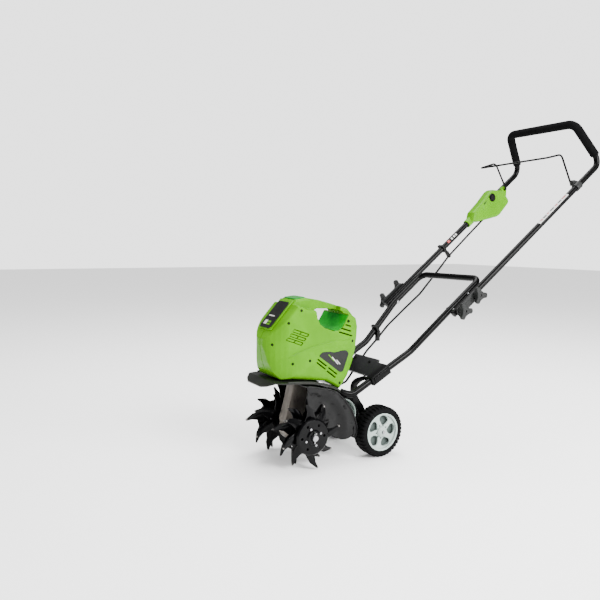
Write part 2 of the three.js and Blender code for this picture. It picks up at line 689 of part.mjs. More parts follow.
for (const [side, sign] of sides) {
  add(`fold_bracket_${side}`, onSide(bracket(), sign), look.grey());
  for (const [i, y] of KNOB_Y.entries()) {
    const place = (body) => onSide(body.translate(0, y, kneeZ(y)), sign);
    add(`knob_${knobNames[i]}_${side}`, place(knobBody.translate(knobX, 0, 0)), look.grey());
    const head = i === 0 ? 129 : HANDLE_LOW.x - TUBE_RADIUS - 3.5;
    add(`bolt_${knobNames[i]}_${side}`, place(joined(
      barX(3.2, [head, knobX + 16], 0, 0, 10),
      barX(6, [head - 3, head], 0, 0, 10),
    )), look.steel());
  }
}

// Control box on the inner side of the right tube, with its lock-off button
const controlShape = new THREE.Shape();
controlShape.moveTo(926, 762);
controlShape.lineTo(960, 762);
controlShape.lineTo(988, 768);
controlShape.lineTo(1068, 786);
controlShape.quadraticCurveTo(1084, 790, 1094, 802);
controlShape.lineTo(1134, 842);
controlShape.quadraticCurveTo(1142, 856, 1132, 866);
controlShape.lineTo(1110, 888);
controlShape.quadraticCurveTo(1104, 896, 1092, 896);
controlShape.lineTo(1048, 897);
controlShape.quadraticCurveTo(1034, 896, 1022, 884);
controlShape.lineTo(984, 844);
controlShape.lineTo(934, 800);
const onHandle = (y) => ({
  x: HANDLE_LOW.x + ((HANDLE_HIGH.x - HANDLE_LOW.x) * (y - HANDLE_LOW.y)) / (HANDLE_HIGH.y - HANDLE_LOW.y),
  y,
  z: kneeZ(y),
});
const collarAlong = (ys, radius, sides) => swept(
  ys.map((y) => new THREE.Vector3(onHandle(y).x, y, kneeZ(y))), radius, sides);
const handleTunnel = swept(bent(upperHalf.slice(0, 3)).map((p) => p.setX(-p.x)), TUBE_RADIUS + 0.6, 12);
// The cable leaves the foot of the box through a bore
const CABLE_ENTRY = { x: -166, y: 1006, z: 784.4 };
const CABLE_BELOW = { x: -166, y: 914, z: 711 };
const entryBore = swept(
  [{ ...CABLE_ENTRY, y: 1008, z: 786 }, CABLE_BELOW].map((p) => new THREE.Vector3(p.x, p.y, p.z)),
  CABLE_RADIUS + GAP, 8);
const buttonAt = { y: 1030, z: 864 };
const buttonFace = CONTROL_X[1] + 3;
const buttonRoom = barX(12.4, [buttonFace - 9, buttonFace + 9], buttonAt.y, buttonAt.z, 18);
const bailBore = (xs) => barX(BAIL_RADIUS + 0.5, xs, BAIL_PIVOT.y, BAIL_PIVOT.z, 10);
add('control_box', cut(
  joined(
    slab(controlShape, CONTROL_X, 12, 2),
    flipX(collarAlong([918, 960], 16, 16)),
    slab([[1088, 880], [1118, 874], [1118, 906], [1110, 913], [1096, 913], [1088, 904]],
      [CONTROL_X[1] - 14, CONTROL_X[1]], 2, 1),
    barX(17, [CONTROL_X[1] - 4, buttonFace], buttonAt.y, buttonAt.z, 20),
    slab([[980, 812], [1000, 812], [1034, 848], [1042, 872], [1018, 868], [990, 836]],
      [CONTROL_X[1] - 4, buttonFace]),
  ),
  handleTunnel, buttonRoom, entryBore, bailBore([CONTROL_X[1] - 12, -140]),
), look.green());
add('lock_button', joined(
  barX(11.8, [buttonFace - 4, buttonFace + 4], buttonAt.y, buttonAt.z, 18),
  barX(9.5, [buttonFace + 3, buttonFace + 6], buttonAt.y, buttonAt.z, 18),
), look.dark());

// Bail wire, its pivot block on the left tube, and its far pin in the control box
const BAIL_X = [-147, 158];
const bailArm = (x, top, front) => [
  { x, ...BAIL_PIVOT, r: 4 },
  { x, ...top, r: 22 },
  { x, ...front, r: 13 },
];
add('bail', swept(bent([
  { x: BAIL_X[1] + 14, ...BAIL_PIVOT },
  ...bailArm(BAIL_X[1], { y: 1042, z: 1004 }, { y: 966, z: 986 }),
  ...bailArm(BAIL_X[0], { y: 1036, z: 1002 }, { y: 949, z: 976 }).reverse(),
  { x: BAIL_X[0] - 16, ...BAIL_PIVOT },
], 30), BAIL_RADIUS, 8), look.gloss());

function onTube(xs, us, ws, y0) {
  const geometry = new THREE.BoxGeometry(xs[1] - xs[0], us[1] - us[0], ws[1] - ws[0]);
  geometry.translate((xs[0] + xs[1]) / 2, (us[0] + us[1]) / 2, (ws[0] + ws[1]) / 2);
  geometry.rotateX(kneeTurn);
  geometry.translate(0, y0, kneeZ(y0));
  return solid(geometry);
}
const leftTunnel = flipX(handleTunnel);
add('bail_pivot', cut(
  joined(
    slab([[1090, 892], [1112, 890], [1119, 896], [1119, 910], [1096, 913], [1090, 908]], [162.5, 180], 2, 1),
    collarAlong([1090, 1112], 14.5, 14),
  ),
  leftTunnel, bailBore([158, 174.5]),
), look.grey());

// Cable from the control box to the motor housing, split near the fold, with clips and a gland
const CABLE_SPLIT = { x: -150, y: 698, z: 530 };
const CLIP_UP = { x: -165, y: 807, z: 625, foot: 786 };
const CLIP_LOW = { x: -110, y: 416, z: 332 };
const upperCable = [
  CABLE_ENTRY,
  { ...CABLE_BELOW, r: 300 },
  { ...CLIP_UP, r: 200 },
  { x: -160, y: 754, z: 576, r: 100 },
  CABLE_SPLIT,
];
const lowerCable = [
  { x: -149.8, y: 697.2, z: 529.4 },
  { x: -140, y: 639, z: 483, r: 160 },
  { x: -128, y: 555, z: 432, r: 160 },
  { x: -116, y: 467, z: 376, r: 160 },
  { ...CLIP_LOW, r: 100 },
  { x: -104, y: 365, z: 293, r: 100 },
  { x: -88, y: 304, z: 241, r: 60 },
  { x: -60, y: 246, z: 204, r: 40 },
  { x: -34, y: 192, z: 200, r: 26 },
  { x: -30, y: 153, z: 231.7 },
];
add('cable_upper', swept(bent(upperCable), CABLE_RADIUS, 8), look.gloss());
add('cable_lower', swept(bent(lowerCable), CABLE_RADIUS, 8), look.gloss());
const glandEnds = [{ x: -30, y: 144.2, z: 238.8 }, { x: -30, y: 152.2, z: 232.2 }];
add('cable_gland', swept(glandEnds.map((p) => new THREE.Vector3(p.x, p.y, p.z)), 7, 10), look.dark());
const upperClip = cut(
  joined(
    onTube([-195.5, -164.5], [-5, 5], [-15, 15], CLIP_UP.foot),
    onTube([-172, -159], [-5, 5], [-41, -14], CLIP_UP.foot),
  ),
  handleTunnel,
  swept(bent(upperCable), CABLE_RADIUS + GAP, 8),
);
add('cable_clip_upper', upperClip, look.dark());
const lowerClip = cut(
  joined(
    onLeg([-136, -106], [-5, 5], [-15, 15], 0).translate(0, CLIP_LOW.y, 365 - (205 - 148 * legSlope)),
    box([-117, -103], [410, 422], [324, 356]),
  ),
  flipX(legTunnel),
  swept(bent(lowerCable), CABLE_RADIUS + GAP, 8),
);
add('cable_clip_lower', lowerClip, look.dark());

export default group;
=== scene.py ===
"""Looks for the mini cultivator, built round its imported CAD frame. Metres, +Z up, the front faces -Y."""
import json
import math

import bmesh
import bpy
from mathutils import Matrix, Vector, noise


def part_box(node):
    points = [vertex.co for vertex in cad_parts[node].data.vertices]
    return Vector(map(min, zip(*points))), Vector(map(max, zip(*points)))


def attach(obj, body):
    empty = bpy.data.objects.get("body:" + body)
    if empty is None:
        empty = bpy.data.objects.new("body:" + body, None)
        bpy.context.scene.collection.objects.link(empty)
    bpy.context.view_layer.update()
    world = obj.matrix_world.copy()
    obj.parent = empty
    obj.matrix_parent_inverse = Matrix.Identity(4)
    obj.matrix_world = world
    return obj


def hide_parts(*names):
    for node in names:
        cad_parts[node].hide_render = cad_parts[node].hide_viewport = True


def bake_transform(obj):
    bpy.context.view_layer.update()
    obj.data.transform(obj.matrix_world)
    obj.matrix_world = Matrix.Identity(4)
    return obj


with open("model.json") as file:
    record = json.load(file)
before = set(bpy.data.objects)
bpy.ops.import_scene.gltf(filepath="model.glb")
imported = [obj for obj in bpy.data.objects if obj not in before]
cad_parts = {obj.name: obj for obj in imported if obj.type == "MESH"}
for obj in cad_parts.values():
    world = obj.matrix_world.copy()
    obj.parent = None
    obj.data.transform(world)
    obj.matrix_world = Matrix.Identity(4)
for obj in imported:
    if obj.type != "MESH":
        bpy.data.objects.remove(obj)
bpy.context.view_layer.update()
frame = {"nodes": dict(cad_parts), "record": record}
NODES = frame["nodes"]
BODY_OF = {n: b for b, members in frame["record"]["behaviour"]["bodies"].items() for n in members}
SLOT_OF = {s["node"]: s["material_slot"] for s in frame["record"]["subparts"]}
MM = 0.001
SHIFT = sum(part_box("tine_shaft"), Vector()).y / 2
TINE_Z = sum(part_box("tine_shaft"), Vector()).z / 2
AXLE = sum(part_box("wheel_axle"), Vector()) / 2
SIDES = (("left", 1), ("right", -1))
# sharp edges are kept above these angles between faces, in degrees
SHARP_FINE = 35
SHARP_BEVELLED = 40
SHARP_ROUND = 50
# unseeded, noise_vector takes its offset from the clock and the guard's crinkles change with each run
noise.seed_set(11)


def at(x, y, z):
    """A point of the machine, in millimetres from below the tine shaft, in the row frame."""
    return Vector((x * MM, y * MM + SHIFT, z * MM))


# ---------------------------------------------------------------- materials
def node_tree(name):
    """A new material with its node tree and its shader."""
    material = bpy.data.materials.new(name)
    material.use_nodes = True
    tree = material.node_tree
    return material, tree, tree.nodes["Principled BSDF"]


def link(tree, source, target):
    tree.links.new(source, target)


def noise_node(tree, coordinates, scale, detail=4.0, roughness=0.55):
    node = tree.nodes.new("ShaderNodeTexNoise")
    node.inputs["Scale"].default_value = scale
    node.inputs["Detail"].default_value = detail
    node.inputs["Roughness"].default_value = roughness
    link(tree, coordinates, node.inputs["Vector"])
    return node.outputs["Fac"]


def ramp(tree, source, stops):
    """Colours mixed along a value; stops are (place, colour)."""
    node = tree.nodes.new("ShaderNodeValToRGB")
    elements = node.color_ramp.elements
    while len(elements) < len(stops):
        elements.new(0.5)
    for element, (place, colour) in zip(elements, stops):
        element.position = place
        element.color = (*colour, 1.0)
    link(tree, source, node.inputs["Fac"])
    return node.outputs["Color"]


def spread(tree, source, low, high):
    """A value from 0 to 1 spread between low and high."""
    node = tree.nodes.new("ShaderNodeMapRange")
    node.inputs["To Min"].default_value = low
    node.inputs["To Max"].default_value = high
    link(tree, source, node.inputs["Value"])
    return node.outputs["Result"]


def bump(tree, shader, source, strength, distance):
    """Raises the surface by a value; distance is the height in metres."""
    node = tree.nodes.new("ShaderNodeBump")
    node.inputs["Strength"].default_value = strength
    node.inputs["Distance"].default_value = distance
    link(tree, source, node.inputs["Height"])
    link(tree, node.outputs["Normal"], shader.inputs["Normal"])


def surface(name, dark, light, rough, grain, depth, metallic=0.0, mottle=18.0, shine=0.5):
    """A finish with a mottled colour, uneven roughness and a fine grain; shine is its specular level."""
    material, tree, shader = node_tree(name)
    place = tree.nodes.new("ShaderNodeTexCoord").outputs["Object"]
    broad = noise_node(tree, place, mottle, 3.0)
    fine = noise_node(tree, place, grain, 6.0, 0.65)
    link(tree, ramp(tree, broad, [(0.3, dark), (0.7, light)]), shader.inputs["Base Color"])
    link(tree, spread(tree, broad, *rough), shader.inputs["Roughness"])
    shader.inputs["Metallic"].default_value = metallic
    shader.inputs["Specular IOR Level"].default_value = shine
    bump(tree, shader, fine, 0.5, depth)
    return material


WEAR_FROM, WEAR_FULL = 0.086, 0.103
WEAR_SHARE = 0.3
COATED = (0.0006, 0.0006, 0.0008, 1)
BARE = (0.26, 0.25, 0.235, 1)


def worn_steel(name):
    """Black coated steel that is rubbed bare towards the tips and along scratches."""
    material, tree, shader = node_tree(name)
    place = tree.nodes.new("ShaderNodeTexCoord").outputs["Object"]
    offset = tree.nodes.new("ShaderNodeVectorMath")
    offset.operation = "SUBTRACT"
    offset.inputs[1].default_value = (0, SHIFT, TINE_Z)
    link(tree, place, offset.inputs[0])
    flat = tree.nodes.new("ShaderNodeVectorMath")
    flat.operation = "MULTIPLY"
    flat.inputs[1].default_value = (0, 1, 1)
    link(tree, offset.outputs["Vector"], flat.inputs[0])
    reach = tree.nodes.new("ShaderNodeVectorMath")
    reach.operation = "LENGTH"
    link(tree, flat.outputs["Vector"], reach.inputs[0])
    edge = tree.nodes.new("ShaderNodeMapRange")
    edge.inputs["From Min"].default_value = WEAR_FROM
    edge.inputs["From Max"].default_value = WEAR_FULL
    edge.inputs["To Max"].default_value = WEAR_SHARE
    link(tree, reach.outputs["Value"], edge.inputs["Value"])
    scuffs = noise_node(tree, place, 95.0, 8.0, 0.7)
    worn = tree.nodes.new("ShaderNodeMath")
    worn.operation = "ADD"
    link(tree, edge.outputs["Result"], worn.inputs[0])
    link(tree, scuffs, worn.inputs[1])
    mask = ramp(tree, worn.outputs["Value"], [(0.70, (0, 0, 0)), (0.80, (1, 1, 1))])
    colour = tree.nodes.new("ShaderNodeMix")
    colour.data_type = "RGBA"
    colour.inputs["A"].default_value = COATED
    colour.inputs["B"].default_value = BARE
    link(tree, mask, colour.inputs["Factor"])
    link(tree, colour.outputs["Result"], shader.inputs["Base Color"])
    link(tree, spread(tree, mask, 0.22, 0.42), shader.inputs["Roughness"])
    link(tree, spread(tree, mask, 0.0, 0.95), shader.inputs["Metallic"])
    shader.inputs["Specular IOR Level"].default_value = 0.1
    bump(tree, shader, scuffs, 0.3, 0.0003)
    return material


def clear_green(name):
    """The clear plastic of the cap and the liner, drawn as a solid glossy green."""
    material, tree, shader = node_tree(name)
    place = tree.nodes.new("ShaderNodeTexCoord").outputs["Object"]
    stops = [(0.3, (0.0004, 0.15, 0.007)), (0.7, (0.0006, 0.21, 0.011))]
    colour = ramp(tree, noise_node(tree, place, 60.0), stops)
    link(tree, colour, shader.inputs["Base Color"])
    shader.inputs["Roughness"].default_value = 0.08
    shader.inputs["Specular IOR Level"].default_value = 0.12
    return material


# dark colour, light colour, range of roughness, scale of the grain, depth of the grain in metres
LOOKS = {
    "green_shell": surface("green_shell", (0.052, 0.182, 0.00002), (0.067, 0.228, 0.00003), (0.22, 0.32),
                           700, 0.00003, shine=0.06),
    "black_tube": surface("black_tube", (0.0004, 0.0004, 0.0005), (0.0010, 0.0010, 0.0011), (0.24, 0.34),
                          700, 0.00006, shine=0.08),
    "foam": surface("foam", (0.0012, 0.0012, 0.0014), (0.0028, 0.0028, 0.003), (0.9, 0.98),
                    1300, 0.0003, mottle=60, shine=0.05),
    "grey_plastic": surface("grey_plastic", (0.006, 0.0064, 0.0064), (0.011, 0.0116, 0.0112), (0.42, 0.55),
                            1100, 0.0003, shine=0.2),
    "dark_plastic": surface("dark_plastic", (0.001, 0.0011, 0.0011), (0.0024, 0.0026, 0.0024), (0.38, 0.5),
                            1100, 0.0003, shine=0.12),
    "fender": surface("fender", (0.006, 0.007, 0.0052), (0.0105, 0.0122, 0.009), (0.34, 0.46),
                      900, 0.0003, shine=0.2),
    "steel": surface("steel", (0.22, 0.22, 0.23), (0.36, 0.36, 0.37), (0.25, 0.42),
                     500, 0.0002, metallic=1.0),
    "cast_alloy": surface("cast_alloy", (0.13, 0.115, 0.1), (0.21, 0.19, 0.165), (0.36, 0.52),
                          420, 0.0005, metallic=0.85, mottle=30),
    "tine_steel": worn_steel("tine_steel"),
    "tyre": surface("tyre", (0.0012, 0.0012, 0.0013), (0.0028, 0.0028, 0.003), (0.72, 0.88),
                    800, 0.0005, mottle=40, shine=0.06),
    "wheel_hub": surface("wheel_hub", (0.24, 0.30, 0.275), (0.31, 0.37, 0.345), (0.38, 0.5),
                         900, 0.0002, shine=0.3),
    # a darker copy of the hub's grey-green: painted shade on the hub's inner side behind its windows
    "hub_painted_shade": surface("hub_painted_shade", (0.035, 0.048, 0.044), (0.055, 0.07, 0.064), (0.5, 0.62),
                        900, 0.0002, shine=0.2),
    "copper": surface("copper", (0.3, 0.12, 0.05), (0.46, 0.22, 0.11), (0.3, 0.45),
                      1200, 0.0003, metallic=0.9),
    "grey_coat": surface("grey_coat", (0.006, 0.0062, 0.0066), (0.011, 0.0113, 0.012), (0.4, 0.5),
                         800, 0.0003, shine=0.2),
    "guard": surface("guard", (0.0003, 0.0003, 0.0004), (0.0007, 0.0007, 0.0008), (0.15, 0.24),
                     500, 0.0001, shine=0.17),
    "label_dark": surface("label_dark", (0.006, 0.0066, 0.006), (0.010, 0.0108, 0.0098), (0.34, 0.44),
                          1400, 0.0001, shine=0.15),
    "label_pale": surface("label_pale", (0.34, 0.34, 0.33), (0.44, 0.44, 0.43), (0.35, 0.45), 900, 0.0001),
    "label_red": surface("label_red", (0.2, 0.008, 0.007), (0.27, 0.014, 0.012), (0.35, 0.45), 900, 0.0001),
    # near-black painted shade for holes, for the insides behind slits and for screws deep in their holes
    "recess_shade": surface("recess_shade", (0.002, 0.002, 0.002), (0.004, 0.004, 0.004), (0.7, 0.85),
                      700, 0.0003, shine=0.05),
    "clear_green": clear_green("clear_green"),
}


# ---------------------------------------------------------------- mesh helpers
def shaded(mesh, angle):
    """Smooth faces with sharp edges above the angle."""
    for face in mesh.polygons:
        face.use_smooth = True
    mesh.set_sharp_from_angle(angle=math.radians(angle))


def finished(mesh, name, angle=SHARP_FINE):
    """A shaded mesh as an object in the scene."""
    shaded(mesh, angle)
    piece = bpy.data.objects.new(name, mesh)
    bpy.context.scene.collection.objects.link(piece)
    return piece


def built(shape, name, angle=SHARP_BEVELLED):
    """The bmesh shape as a finished piece; the shape is freed."""
    mesh = bpy.data.meshes.new(name)
    shape.to_mesh(mesh)
    shape.free()
    return finished(mesh, name, angle)


def applied(piece):
    """Bakes the modifiers of a piece into its mesh."""
    shown = piece.evaluated_get(bpy.context.evaluated_depsgraph_get())
    mesh = bpy.data.meshes.new_from_object(shown)
    piece.modifiers.clear()
    piece.data = mesh


def dress(piece, look, body, replaced=()):
    """Gives a piece its look and slot, the body it rides on and the nodes it stands for."""
    piece.data.materials.clear()
    piece.data.materials.append(LOOKS[look])
    if body:
        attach(piece, body)
    if replaced:
        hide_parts(*replaced)
    return piece


def copied(node):
    """A welded copy of a CAD node's mesh with flat faces made whole."""
    shape = bmesh.new()
    shape.from_mesh(NODES[node].data)
    bmesh.ops.remove_doubles(shape, verts=shape.verts, dist=0.00002)
    bmesh.ops.dissolve_limit(shape, angle_limit=math.radians(1.0), verts=shape.verts, edges=shape.edges)
    mesh = bpy.data.meshes.new(node + "_fine")
    shape.to_mesh(mesh)
    shape.free()
    return mesh


def softened(node, look=None, bevel=0.0008, segments=2, angle=30):
    """A CAD node with every edge above the angle rounded over."""
    piece = finished(copied(node), node + "_fine")
    rounding = piece.modifiers.new("edges", "BEVEL")
    rounding.width = bevel
    rounding.segments = segments
    rounding.limit_method = "ANGLE"
    rounding.angle_limit = math.radians(angle)
    rounding.use_clamp_overlap = True
    applied(piece)
    shaded(piece.data, SHARP_BEVELLED)
    return dress(piece, look or SLOT_OF[node], BODY_OF[node], [node])


def moulded(node, voxel, rounds, look=None):
    """A CAD node as a moulding: even small faces, then every edge rounded by smoothing."""
    piece = finished(copied(node), node + "_fine", 180)
    grid = piece.modifiers.new("grid", "REMESH")
    grid.mode = "VOXEL"
    grid.voxel_size = voxel
    grid.use_smooth_shade = True
    smooth = piece.modifiers.new("smooth", "SMOOTH")
    smooth.factor = 0.5
    smooth.iterations = rounds
    applied(piece)
    return dress(piece, look or SLOT_OF[node], BODY_OF[node], [node])


BEND_STEP = math.radians(8)
END_ANGLES = (0.0, math.pi / 6, math.pi / 3, math.pi / 2)


def bent(corners):
    """Points along straight runs that meet in arcs; corners are (x, y, z, radius)."""
    spots = [at(*c[:3]) for c in corners]
    points = [spots[0]]
    for i in range(1, len(spots) - 1):
        back = (spots[i - 1] - spots[i]).normalized()
        on = (spots[i + 1] - spots[i]).normalized()
        half = back.angle(on) / 2
        radius = corners[i][3] * MM
        centre = spots[i] + (back + on).normalized() * (radius / math.sin(half))
        start = spots[i] + back * (radius / math.tan(half)) - centre
        axis = on.cross(back).normalized()
        total = math.pi - 2 * half
        count = max(2, math.ceil(total / BEND_STEP))
        for k in range(count + 1):
            points.append(Matrix.Rotation(total * k / count, 3, axis) @ start + centre)
    points.append(spots[-1])
    return points


def pipe(name, points, radius, sides, end_round):
    """A round bar with rounded ends along the points; radius may be one number or one for each point."""
    radii = radius if isinstance(radius, list) else [radius] * len(points)
    tips = []
    for end, inner, size in ((points[0], points[1], radii[0]), (points[-1], points[-2], radii[-1])):
        inward = (inner - end).normalized()
        tips.append([(end + inward * end_round * (1 - math.cos(a)), size - end_round * (1 - math.sin(a)))
                     for a in END_ANGLES])
    stations = tips[0] + list(zip(points, radii))[1:-1] + tips[1][::-1]
    points = [point for point, _ in stations]
    radii = [size for _, size in stations]
    shape = bmesh.new()
    tangent = (points[1] - points[0]).normalized()
    side = tangent.orthogonal().normalized()
    rings = []
    for i, point in enumerate(points):
        ahead = points[min(i + 1, len(points) - 1)] - points[max(i - 1, 0)]
        turn = tangent.rotation_difference(ahead.normalized())
        side = (turn @ side).normalized()
        tangent = ahead.normalized()
        other = tangent.cross(side)
        rings.append([
            shape.verts.new(point + radii[i] * (side * math.cos(a) + other * math.sin(a)))
            for a in (2 * math.pi * k / sides for k in range(sides))
        ])
    for low, high in zip(rings, rings[1:]):
        for k in range(sides):
            shape.faces.new((low[k], low[(k + 1) % sides], high[(k + 1) % sides], high[k]))
    shape.faces.new(rings[0][::-1])
    shape.faces.new(rings[-1])
    return built(shape, name, SHARP_ROUND)


def turned(name, profile, centre, sides=64, shape_at=None):
    """A closed (radius, x) profile turned about an X axis through centre.

    shape_at may give each point of the profile another radius at each step of the turn."""
    shape = bmesh.new()
    rings = []
    for k in range(sides):
        angle = 2 * math.pi * k / sides
        ring = []
        for i, (radius, x) in enumerate(profile):
            if shape_at:
                radius = shape_at(i, k, radius)
            spot = centre + Vector((x, radius * math.cos(angle), radius * math.sin(angle)))
            ring.append(shape.verts.new(spot))
        rings.append(ring)
    for k in range(sides):
        here, following = rings[k], rings[(k + 1) % sides]
        for i in range(len(profile)):
            j = (i + 1) % len(profile)
            shape.faces.new((here[i], here[j], following[j], following[i]))
    bmesh.ops.recalc_face_normals(shape, faces=shape.faces)
    return built(shape, name)


def slab(name, outline, thickness, place, bevel):
    """A flat plate: a 2-D outline in metres given thickness, then moved by the matrix place."""
    shape = bmesh.new()
    low = [shape.verts.new((x, y, 0)) for x, y in outline]
    high = [shape.verts.new((x, y, thickness)) for x, y in outline]
    shape.faces.new(low[::-1])
    shape.faces.new(high)
    for i in range(len(outline)):
        j = (i + 1) % len(outline)
        shape.faces.new((low[i], low[j], high[j], high[i]))
    bmesh.ops.recalc_face_normals(shape, faces=shape.faces)
    rim = [e for e in shape.edges if all(v in high for v in e.verts)]
    bmesh.ops.bevel(shape, geom=rim, offset=bevel, segments=2, affect="EDGES")
    shape.transform(place)
    return built(shape, name)


def upright(x):
    """The place of a slab whose outline is (y, z); it stands from x, in millimetres, towards +X."""
    return Matrix.Translation(Vector((x * MM, 0, 0))) @ Matrix(((0, 0, 1), (1, 0, 0), (0, 1, 0))).to_4x4()


def rounded(corners, radius, steps=5):
    """A 2-D outline whose corners are rounded by the radius."""
    points = []
    for i, corner in enumerate(corners):
        here = Vector(corner)
        back = (Vector(corners[i - 1]) - here).normalized()
        on = (Vector(corners[(i + 1) % len(corners)]) - here).normalized()
        start, end = here + back * radius, here + on * radius
        for k in range(steps + 1):
            t = k / steps
            points.append(tuple(start * (1 - t) ** 2 + here * 2 * t * (1 - t) + end * t * t))
    return points


def rounded_box(low, high, radius, steps=5):
    """The rounded outline of a rectangle between two corners."""
    return rounded([low, (high[0], low[1]), high, (low[0], high[1])], radius, steps)


def slanted(outline, middle, slope):
    """A 2-D outline turned by the slope and moved to the middle."""
    return [(middle[0] + a * math.cos(slope) - b * math.sin(slope),
             middle[1] + a * math.sin(slope) + b * math.cos(slope)) for a, b in outline]


# ---------------------------------------------------------------- camera, light and floor
# fitted to the photo: place in millimetres, turns in degrees, the rest in pixels
VIEW = {"place": (1646.9, -953.1, 671.3), "yaw": 58.25, "pitch": 4.11, "roll": 0.58,
        "focal": 623.2, "centre": (311.0, 287.6), "frame": 600.0}


SENSOR = 36.0


def make_camera():
    yaw, pitch, roll = (math.radians(VIEW[k]) for k in ("yaw", "pitch", "roll"))
    back = Vector((math.sin(yaw) * math.cos(pitch), -math.cos(yaw) * math.cos(pitch), math.sin(pitch)))
    right = (-back).cross(Vector((0, 0, 1))).normalized()
    up = right.cross(-back)
    turned_right = right * math.cos(roll) + up * math.sin(roll)
    turned_up = up * math.cos(roll) - right * math.sin(roll)
    camera = bpy.data.objects.new("camera", bpy.data.cameras.new("camera"))
    bpy.context.scene.collection.objects.link(camera)
    rotation = Matrix((turned_right, turned_up, back)).transposed().to_4x4()
    camera.matrix_world = Matrix.Translation(at(*VIEW["place"])) @ rotation
    camera.data.sensor_width = SENSOR
    camera.data.lens = SENSOR * VIEW["focal"] / VIEW["frame"]
    camera.data.shift_x = (VIEW["frame"] / 2 - VIEW["centre"][0]) / VIEW["frame"]
    camera.data.shift_y = (VIEW["centre"][1] - VIEW["frame"] / 2) / VIEW["frame"]
    bpy.context.scene.camera = camera


def area_light(name, place, aim, size, power):
    data = bpy.data.lights.new(name, "AREA")
    data.shape = "RECTANGLE"
    data.size, data.size_y = size
    data.energy = power
    light = bpy.data.objects.new(name, data)
    light.location = place
    light.rotation_euler = (Vector(aim) - Vector(place)).to_track_quat("-Z", "Y").to_euler()
    bpy.context.scene.collection.objects.link(light)


# strength of the world: for most rays, for camera rays and for glossy rays
FILL = 1.7
BACKDROP = 2.6
SHEEN = 0.35
# name, place, aim, size, power
LIGHTS = [("key", (3.0, 0.1, 2.2), (0, -0.3, 0.4), (1.3, 1.3), 220),
          ("side", (2.9, 1.5, 1.5), (0, -0.2, 0.4), (0.9, 1.8), 120),
          ("top", (-0.6, 0.2, 3.2), (0, 0, 0.4), (2.2, 2.2), 170)]
FLOOR_SIZE = 14
FLOOR_DROP = 0.0006
FLOOR_COLOUR = (0.93, 0.93, 0.93, 1)


def make_studio():
    """A pale room: world light, three area lights and a floor."""
    world = bpy.data.worlds.new("studio")
    world.use_nodes = True
    fill = world.node_tree.nodes["Background"]
    fill.inputs["Color"].default_value = (1, 1, 1, 1)
    rays = world.node_tree.nodes.new("ShaderNodeLightPath")
    level = world.node_tree.nodes.new("ShaderNodeMapRange")
    level.inputs["To Max"].default_value = SHEEN
    backdrop = world.node_tree.nodes.new("ShaderNodeMapRange")
    backdrop.inputs["To Min"].default_value = FILL
    backdrop.inputs["To Max"].default_value = BACKDROP
    link(world.node_tree, rays.outputs["Is Camera Ray"], backdrop.inputs["Value"])
    link(world.node_tree, backdrop.outputs["Result"], level.inputs["To Min"])
    link(world.node_tree, rays.outputs["Is Glossy Ray"], level.inputs["Value"])
    link(world.node_tree, level.outputs["Result"], fill.inputs["Strength"])
    bpy.context.scene.world = world
    for light in LIGHTS:
        area_light(*light)
    shape = bmesh.new()
    bmesh.ops.create_grid(shape, x_segments=2, y_segments=2, size=FLOOR_SIZE)
    floor = built(shape, "floor")
    floor.location.z = -FLOOR_DROP
    material, tree, shader = node_tree("floor")
    shader.inputs["Base Color"].default_value = FLOOR_COLOUR
    shader.inputs["Roughness"].default_value = 0.7
    floor.data.materials.append(material)


# ---------------------------------------------------------------- tubes, grip, bail and cable
# radii
TUBE = 11 * MM
FOAM = 16 * MM
BAIL_WIRE = 3.6 * MM
CABLE_SHEATH = 3.9 * MM
# corners of the runs: (x, y, z, bend radius)
LOWER = [(92, 118, 216), (108, 148, 205, 34), (118, 372, 323, 80), (143, 515, 452, 150), (146, 652, 555, 30)]
UPPER = [(174, 505, 443), (190, 1229, 985, 38), (151, 1121, 1124, 34)]
BAIL = [(172, 1104, 900), (158, 1104, 900, 4), (158, 1042, 1004, 22), (158, 966, 986, 13),
        (-147, 949, 976, 13), (-147, 1036, 1002, 22), (-147, 1104, 900, 4), (-163, 1104, 900)]
CABLE = [(-166, 1006, 784.4), (-166, 914, 711, 300), (-165, 807, 625, 200), (-160, 754, 576, 100),
         (-140, 639, 483, 160), (-128, 555, 432, 160), (-116, 467, 376, 160), (-110, 416, 332, 100),
         (-104, 365, 293, 100), (-88, 304, 241, 60), (-60, 246, 204, 40), (-34, 192, 200, 26),
         (-30, 153, 231.7)]
# where the cable passes from the chassis to the upper handle
GRIP_START = (190, 1222, 1010)
GRIP_STEP = 6 * MM
GRIP_UNEVEN = 0.35 * MM
GRIP_GRAIN = 30
LABEL_RADIUS = 11.25
MARK_RADIUS = 11.45
LABEL_THICKNESS = 0.6
LABEL_STEPS = 6


def mirrored(corners):
    """The corners of one side and then of the other."""
    return corners + [(-c[0], *c[1:]) for c in reversed(corners)]


def on_upper_tube(y, sign):
    """The point of an upper tube's axis at y."""
    (x0, y0, z0), (x1, y1, z1) = (corner[:3] for corner in UPPER[:2])
    return at((x0 + (x1 - x0) * (y - y0) / (y1 - y0)) * sign, y, z0 + (z1 - z0) * (y - y0) / (y1 - y0))


